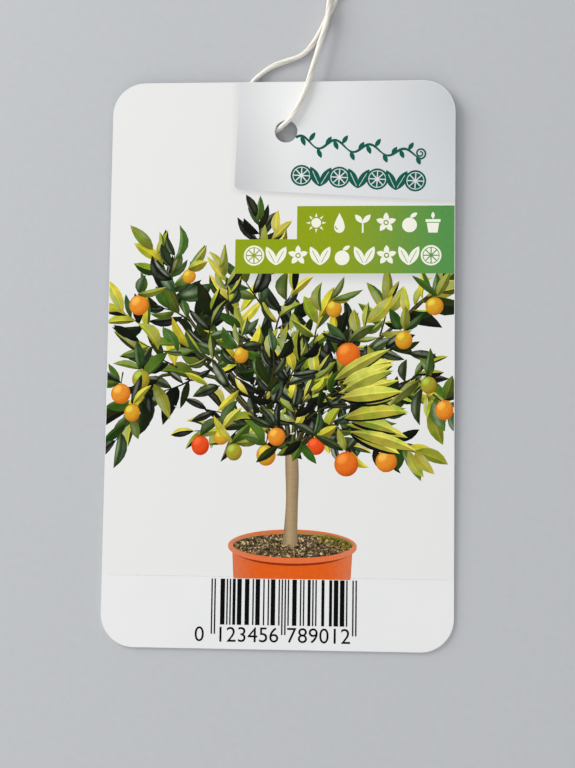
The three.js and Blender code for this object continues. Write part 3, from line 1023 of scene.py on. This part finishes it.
# %% [markdown]
# The leaf's map makes its ribs easy. Less the bend, v is the distance from the midrib, so a narrow
# band there is the pale midrib, and a wave of u and v together gives the side veins. A broad band
# between midrib and margin takes the sky's reflection, as waxy citrus leaves do.

# %% Leaf
def waxy_leaf(add, place):
    """Midrib, veins and margin paler than the blade, and a band of sky where the leaf shines."""
    ink, (u, v, bend) = carried_ink(add), carried_map(add)
    hump = add("Math", u, add("Math", 1.0, u, **LESS), **TIMES)
    sway = add("Math", hump, 4.0, **TIMES)
    across = add("Math", v, add("Math", sway, bend, **TIMES), **LESS)
    aside = add("Math", across, **SIZE)
    outward = add("Math", aside, add("Math", sway, 0.65, operation="POWER"), operation="DIVIDE")
    rib = add("MapRange", aside, 0.03, 0.16, 0.35, 0.0, **SMOOTH)
    margin = add("MapRange", outward, 0.74, 0.98, 0.0, 0.22, **SMOOTH)
    phase = add("Math", u, 46.0, add("Math", aside, -9.0, **TIMES), **TIMES_PLUS)
    veins = add("MapRange", add("Math", phase, operation="SINE"), 0.2, 1.0, 0.0, 0.04)
    pale_parts = add("Math", add("Math", rib, veins, **LARGER), margin, **LARGER)
    patches = add("TexNoise", place, 1 / (2.4 * MM), 3.0)
    tone = add("MapRange", patches, 0.3, 0.7, 0.82, 1.2)
    from_base = add("MapRange", u, 0.0, 0.5, 0.58, 1.08, **SMOOTH)
    toned = add("Mix", 1.0, ink["Color"], add("Math", tone, from_base, **TIMES), **TINTED)
    blotches = add("TexNoise", place, 1 / (3.5 * MM), 1.0)
    greener = add("MapRange", blotches, 0.5, 0.64, 0.0, 0.75)
    blade = add("Mix", greener, toned, (0.6, 0.86, 0.6, 1), **TINTED)
    pale = add("Mix", 1.0, blade, (2.1, 1.95, 1.6, 1), **TINTED)
    drawn = add("Mix", pale_parts, blade, pale, **COLOURS)
    rise = add("MapRange", outward, 0.08, 0.45, **SMOOTH)
    fall = add("MapRange", outward, 0.5, 0.95, 1.0, 0.0, **SMOOTH)
    band = add("Math", rise, fall, **TIMES)
    streak = add("Math", band, add("MapRange", sway, 0.3, 0.98, **SMOOTH), **TIMES)
    mirrored = add("Math", streak, add("MapRange", patches, 0.35, 0.6, 0.35, 1.0), **TIMES)
    gloss = add("Math", mirrored, ink["Alpha"], **TIMES)
    return add("Mix", gloss, drawn, linear("#aab39b"), **COLOURS)


# %% [markdown]
# The ball's map gives its roundness. Bark has fine streaks up the trunk and coarser marks across it.
# The pot is lightest at its sides, where it mirrors the sky. Soil and twigs are too small for more
# than a mottle.

# %% Fruit
def round_fruit(add, place):
    """u and v give the ball's surface normal, (u, v, sqrt(1 - u2 - v2)); its dot with the light
    shades it, and the brightest part takes a soft highlight. Pores are 0.3 mm apart."""
    ink, (u, v, _) = carried_ink(add), carried_map(add)
    r2 = add("Math", v, v, add("Math", u, u, **TIMES), **TIMES_PLUS)
    height = add("Math", add("Math", 1.0, r2, use_clamp=True, **LESS), operation="SQRT")
    lit_y = add("Math", v, 0.48, add("Math", u, -0.4, **TIMES), **TIMES_PLUS)
    lit = add("Math", height, 0.78, lit_y, **TIMES_PLUS)
    dusk = add("MapRange", lit, 0.75, -0.25, 0.0, 1.0, **SMOOTH)
    pores = add("TexVoronoi", place, 1 / (0.3 * MM))
    peel = add("Mix", 1.0, ink["Color"], add("MapRange", pores, 0.0, 0.7, 0.84, 1.06), **TINTED)
    rim = add("MapRange", height, 0.75, 0.1, 0.0, 0.65, **SMOOTH)
    ball = add("Mix", add("Math", dusk, rim, **LARGER), peel, (0.7, 0.48, 0.38, 1), **TINTED)
    spot = add("MapRange", lit, 0.8, 1.0, 0.0, 0.9, **SMOOTH)
    return add("Mix", spot, ball, (1.25, 2.0, 3.5, 1), **TINTED)


# %% Bark, clay and soil
def trunk_bark(add, place):
    """Smooth grey-brown bark: lit from the left, with streaks 0.28 mm wide that run up the trunk."""
    around = carried_map(add)[0]
    streaks, scars = (0.28, 4.5, 3.0, 0.7, 0.94, 1.05), (3, 0.5, 2.0, 0.6, 0.92, 1.02)
    shades = []
    for width, height, detail, top, low, high in (streaks, scars):
        drawn_out = add("Mapping", place, inputs={"Scale": (1 / (width * MM), 1 / (height * MM), 1)})
        shades.append(add("MapRange", add("TexNoise", drawn_out, 1.0, detail), 0.3, top, low, high))
    turned = add("MapRange", around, -0.3, 1.1, 1.08, 0.5)
    side = add("Math", turned, add("MapRange", around, -1.1, -0.5, 0.62, 1.0), **TIMES)
    shade = add("Math", side, add("Math", *shades, **TIMES), **TIMES)
    return add("Mix", 1.0, carried_ink(add)["Color"], shade, **TINTED)


def pot_clay(add, place):
    """A round plastic pot under a soft sky: full orange in front, paler and pinker to its sides."""
    around = carried_map(add)[0]
    square = add("Math", around, around, **TIMES)
    to_sides = add("MapRange", square, 0.2, 1.0, 0.0, 0.4, **SMOOTH)
    paler = add("Mix", to_sides, carried_ink(add)["Color"], linear("#ca977c"), **COLOURS)
    mottle = add("TexNoise", place, 1 / (0.8 * MM), 3.0)
    return add("Mix", 1.0, paler, add("MapRange", mottle, 0.3, 0.7, 0.93, 1.05), **TINTED)


def twig_and_soil(add, place):
    """Small flat shapes keep their own ink, with a printed mottle of 0.4 mm."""
    mottle = add("TexNoise", place, 1 / (0.4 * MM), 2.0)
    shade = add("MapRange", mottle, 0.3, 0.7, 0.85, 1.1)
    return add("Mix", 1.0, carried_ink(add)["Color"], shade, **TINTED)


# %% Put the inks on the sheet
SHEET_LIFT, BLACK_LIFT, MARK_LIFT = 0.015, 0.012, 0.027  # mm above the film
DRAWN = {
    "film_with_printed_shadows": film_with_shadows, "screened_grey_ink": silver_panel,
    "blended_green_ink": green_banner, "printed_leaf_ink": waxy_leaf, "printed_fruit_ink": round_fruit,
    "printed_bark_ink": trunk_bark, "printed_clay_ink": pot_clay, "printed_twig_and_soil_ink": twig_and_soil,
}
points, numbers = np.unique(np.round(corners, 5), axis=0, return_inverse=True)
triangles = numbers.reshape(-1, 3)
whole = (triangles != np.roll(triangles, 1, axis=1)).all(axis=1)
triangles, owners = triangles[whole], owners[whole]
materials = [printed_ink(name, draw) for name, draw in DRAWN.items()]
printed = make_piece("printed_picture", onto_card(points, SHEET_LIFT), triangles, materials, "print")
printed.data.polygons.foreach_set("material_index", np.array(finishes, np.int32)[owners])
at_corner = points[triangles.ravel()]
owner_at_corner = np.repeat(owners, 3)
ones = np.column_stack([at_corner, np.ones(len(at_corner))])
uv = np.einsum("nij,nj->ni", np.array(maps, float)[owner_at_corner], ones)
ink_data = printed.data.attributes.new("ink", "FLOAT_COLOR", "CORNER")
ink_data.data.foreach_set("color", np.array(inks)[owner_at_corner].ravel())
shape_data = printed.data.attributes.new("shape", "FLOAT_VECTOR", "CORNER")
shape_data.data.foreach_set("vector", np.column_stack([uv, np.array(bends)[owner_at_corner]]).ravel())
flat_map = printed.data.uv_layers.new(name="OFBake")
spread = (at_corner - (-CARD_WIDTH / 2, POT_FOOT)) / (CARD_WIDTH, CARD_LENGTH / 2 - POT_FOOT)
flat_map.data.foreach_set("uv", (0.005 + 0.99 * spread).ravel())
print("printed sheet:", len(triangles), "triangles,", len(points), "points")

# %% [markdown]
# ## Ornaments in solid ink
# Over the picture come marks in one solid ink each: a tendril and a citrus frieze on the panel, and
# small signs for sun, water, sprout, flower, fruit and pot on the banners. Each mark is a stencil:
# outlines in a box one unit high, which lay ink or leave a gap. Its colour is the same all over, so
# it is set on the shader itself and stays crisp at any size.

# %% Stencils
def disc(x, y, radius, count=32):
    """A circle."""
    return oval(x, y, radius, radius, count)


def pointed(x, y, length, width, degrees):
    """A pointed oval from (x, y): its half width is sin(pi t) ** 0.8 along its length."""
    t = np.linspace(0, 1, 11)
    half = width / 2 * np.sin(np.pi * t) ** 0.8
    lower, upper = np.column_stack([t * length, -half]), np.column_stack([t * length, half])
    return rotated(np.vstack([lower, upper[-2:0:-1]]), math.radians(degrees)) + (x, y)


def inked(*outlines, laid=True):
    """A stencil of outlines that lay ink, or leave a gap."""
    return [(outline, laid) for outline in outlines]


# %% Signs
eighths = range(0, 360, 45)
tips = [arc(0, 0, 0.08, 0.08, turn + 22, turn + 22, 1) for turn in eighths]
rims = [arc(0, 0, 0.37, 0.37, turn + 4, turn + 41, 7) for turn in eighths]
SLICE = inked(disc(0, 0, 0.5)) + inked(disc(0, 0, 0.41), laid=False)
SLICE += inked(*(np.vstack(segment) for segment in zip(tips, rims)))
ribs = [ribbon([(side * 0.06, -0.36), (side * 0.38, 0.24)], 0.03) for side in (1, -1)]
LEAVES = inked(*(pointed(0, -0.48, 1.04, 0.42, turn) for turn in (62, 118))) + inked(*ribs, laid=False)
ray = np.array([(0.3, -0.06), (0.5, 0), (0.3, 0.06)])
SUN = inked(disc(0, 0, 0.24), *(rotated(ray, math.radians(turn)) for turn in eighths))
t = np.linspace(0, 2 * np.pi, 33)[:-1]
DROP = inked(np.column_stack([-0.36 * np.sin(t) * np.sin(t / 2) ** 1.4, 0.5 * np.cos(t)]))
DROP += inked(ribbon(arc(0, -0.14, 0.2, 0.2, 190, 250, 7), 0.05), laid=False)
SPROUT = inked(ribbon([(0, -0.5), (0, -0.2), (0, 0.02)], (0.09, 0.08, 0.07)))
SPROUT += inked(*(pointed(0, -0.02, 0.56, 0.26, turn) for turn in (48, 132)))
potted = np.array([(-0.22, -0.5), (0.22, -0.5), (0.3, -0.02), (-0.3, -0.02)])
PLANTED = inked(box(-0.36, 0.02, 0.36, 0.16), potted, pointed(0, 0.18, 0.34, 0.17, 90))
BLOSSOM = inked(*(pointed(0, 0, 0.5, 0.27, 90 + 72 * turn) for turn in range(5)))
BLOSSOM += inked(disc(0, 0, 0.13, 16), laid=False) + inked(disc(0, 0, 0.075, 12))
ORANGE = inked(disc(0, -0.12, 0.36), pointed(0.02, 0.25, 0.42, 0.2, 32))
print("outlines of a slice:", len(SLICE))


# %% Marks in solid ink
def set_mark(sign, x, y, size, slope=0.0):
    """A sign scaled, turned and moved into place."""
    return [(rotated(outline * size, slope) + (x, y), laid) for outline, laid in sign]


def stencil_piece(name, marks, material, lift=MARK_LIFT):
    """Cuts the plane along all outlines; a triangle gets ink if the last outline over it lays it."""
    points, faces, inside = cut_plane([outline for outline, _ in marks])
    laid = np.array([bool(row) and marks[max(row)][1] for row in inside])
    return make_piece(name, onto_card(points, lift), faces[laid], [material], "print")


def solid_ink(name, hex_colour):
    """One full layer of a single ink under the same varnish: its colour doesn't vary at all."""
    material, add, shader = new_material(name, VARNISHED | {"Base Color": linear(hex_colour)})
    satin_varnish(add, shader)
    return material


# %% Marks on the panel
t = np.linspace(0, 1, 90)
wave = (1.25 - 0.35 * t) * np.sin(2 * np.pi * 3.6 * t + 0.6)
vine = np.column_stack([3.0 + 27.4 * t, 48.9 - 3.4 * t + wave])
panel_marks = inked(ribbon(vine, 0.34 + 0.26 * np.abs(np.cos(2 * np.pi * 1.8 * t))))
for number, share in enumerate(np.linspace(0.04, 0.97, 15)):
    at = [np.interp(share, t, vine[:, axis]) for axis in (0, 1)]
    panel_marks += inked(pointed(*at, 2.5 - 0.5 * share, 1.0, (62 if number % 2 else -62) - 5))
reach = np.linspace(1.25, 0.25, 40)
curl = arc(0, 0, reach, reach, -90, 486, 40) + vine[-1] + (0.0, 1.2)
panel_marks += inked(ribbon(curl, np.linspace(0.42, 0.3, 40)))
FRIEZE_SLOPE = math.radians(-3.1)
for number in range(7):
    x = 4.3 + number * 4.17
    y = 41.2 + (x - 1.75) * math.tan(FRIEZE_SLOPE)
    panel_marks += set_mark((SLICE, LEAVES)[number % 2], x, y, 4.75, FRIEZE_SLOPE)
stencil_piece("panel_ornament", panel_marks, solid_ink("dark_green_spot_ink", "#145c4e"))

# %% Marks on the banners
UPPER_ROW = [SUN, DROP, SPROUT, BLOSSOM, ORANGE, PLANTED]
LOWER_ROW = [SLICE, LEAVES, BLOSSOM, LEAVES, ORANGE, LEAVES, BLOSSOM, LEAVES, SLICE]
banner_marks = []
for row, left, pitch, y in ((UPPER_ROW, 7.7, 5.1, 30.45), (LOWER_ROW, -5.9, 4.84, 23.2)):
    for number, sign in enumerate(row):
        banner_marks += set_mark(sign, left + number * pitch, y, 4.5)
stencil_piece("banner_ornament", banner_marks, solid_ink("cream_opaque_white_ink", "#f7f6e6"))

# %% [markdown]
# ## The bar field
# A tag for a till carries 95 bar widths of 0.33 mm between three pairs of longer guard bars. The
# widths here are shuffled by a seed and don't fall into the groups of seven that a scanner looks
# for, so they stand for nothing, and the numbers beneath only count up.

# %% Bars and numbers
MODULE, DRAWN_BACK = 0.33, 0.01
BARS_LEFT, BARS_TOP, SHORT_FOOT, GUARD_FOOT = -14.0, -47.3, -57.1, -59.1
GUARDS = (0, 2, 28, 30, 56, 58)


def shuffled_half(seed):
    """Twelve bars and twelve gaps, together 42 widths: twelve of 1, six of 2 and six of 3."""
    return np.random.default_rng(seed).permutation(np.repeat([1, 2, 3], [12, 6, 6]))


widths = np.concatenate([[1] * 3, shuffled_half(5), [1] * 5, shuffled_half(8), [1] * 3])
edges = BARS_LEFT + MODULE * np.concatenate([[0], np.cumsum(widths)])
bars = []
for k in range(0, len(widths), 2):
    foot = GUARD_FOOT if k in GUARDS else SHORT_FOOT
    bars += inked(box(edges[k] + DRAWN_BACK, foot, edges[k + 1] - DRAWN_BACK, BARS_TOP))
black = solid_ink("carbon_black_ink", "#060708")
stencil_piece("bar_field", bars, black, BLACK_LIFT)


def number_outline(character, height, x, y):
    """One character of Blender's own plain font as triangles, scaled to a height and centred on x."""
    curve = bpy.data.curves.new("digit", "FONT")
    curve.body = character
    letter = bpy.data.objects.new("digit", curve)
    bpy.context.scene.collection.objects.link(letter)
    bpy.context.view_layer.update()
    mesh = letter.to_mesh()
    mesh.calc_loop_triangles()
    points = np.array([tuple(vertex.co)[:2] for vertex in mesh.vertices])
    faces = np.array([tuple(face.vertices) for face in mesh.loop_triangles])
    letter.to_mesh_clear()
    bpy.data.objects.remove(letter)
    bpy.data.curves.remove(curve)
    scale = height / np.ptp(points[:, 1])
    return (points - (points.min(axis=0) + points.max(axis=0)) / 2) * scale + (x, y), faces


PLACES = np.concatenate([[-16.45], -11.85 + 2.3 * np.arange(6), 3.5 + 2.3 * np.arange(6)])
digit_points, digit_faces = np.empty((0, 2)), []
for character, x in zip("0123456789012", PLACES):
    points, faces = number_outline(character, 3.15, x, -59.15)
    digit_faces.append(faces + len(digit_points))
    digit_points = np.vstack([digit_points, points])
raised = onto_card(digit_points, BLACK_LIFT)
make_piece("counting_numbers", raised, np.vstack(digit_faces), [black], "print")

# %% [markdown]
# ## Table and light
# The tag lies on a plain pale table, in a pale room. Soft light from a large, low window at the
# upper left lays a wide, faint shadow to the right of the string, and a thin one along the card's
# right and bottom edges.

# %% Table
def painted_board():
    """Matt paint, rolled on: pale grey, with a faint stipple of 1.5 mm."""
    material, add, shader = new_material("matt_painted_board", {"Roughness": 0.85})
    stipple = add("TexNoise", add("TexCoord").outputs["Object"], 1 / (1.5 * MM), 2.0)
    tint = add("Mix", stipple, linear("#bdbfc2"), linear("#c3c5c7"), **COLOURS)
    relief = add("Bump", inputs={"Strength": 0.4, "Distance": 0.02 * MM, "Height": stipple})
    wire(shader, {"Base Color": tint, "Normal": relief})
    return material


REACH = 1500.0
table_top = np.column_stack([box(-REACH, -REACH, REACH, REACH), np.zeros(4)])
make_piece("table", table_top, np.array([(0, 1, 2, 3)]), [painted_board()])

# %% Light
for name, place, size, watts in (
    ("window", (-675, 460, 380), 0.6, 6.9),
    ("room", (-100, -600, 600), 0.9, 1.6),
):
    lamp = bpy.data.lights.new(name, "AREA")
    lamp.size, lamp.energy = size, watts
    aimed(lamp, place, (0, 0, 0))
bpy.context.scene.view_settings.view_transform = "Standard"
world = bpy.data.worlds.new("pale_room")
bpy.context.scene.world = world
world.use_nodes = True
wire(world.node_tree.nodes["Background"], {"Color": (0.97, 0.98, 1.0, 1.0), "Strength": 0.54})
print("lamps:", [light.name for light in bpy.data.lights])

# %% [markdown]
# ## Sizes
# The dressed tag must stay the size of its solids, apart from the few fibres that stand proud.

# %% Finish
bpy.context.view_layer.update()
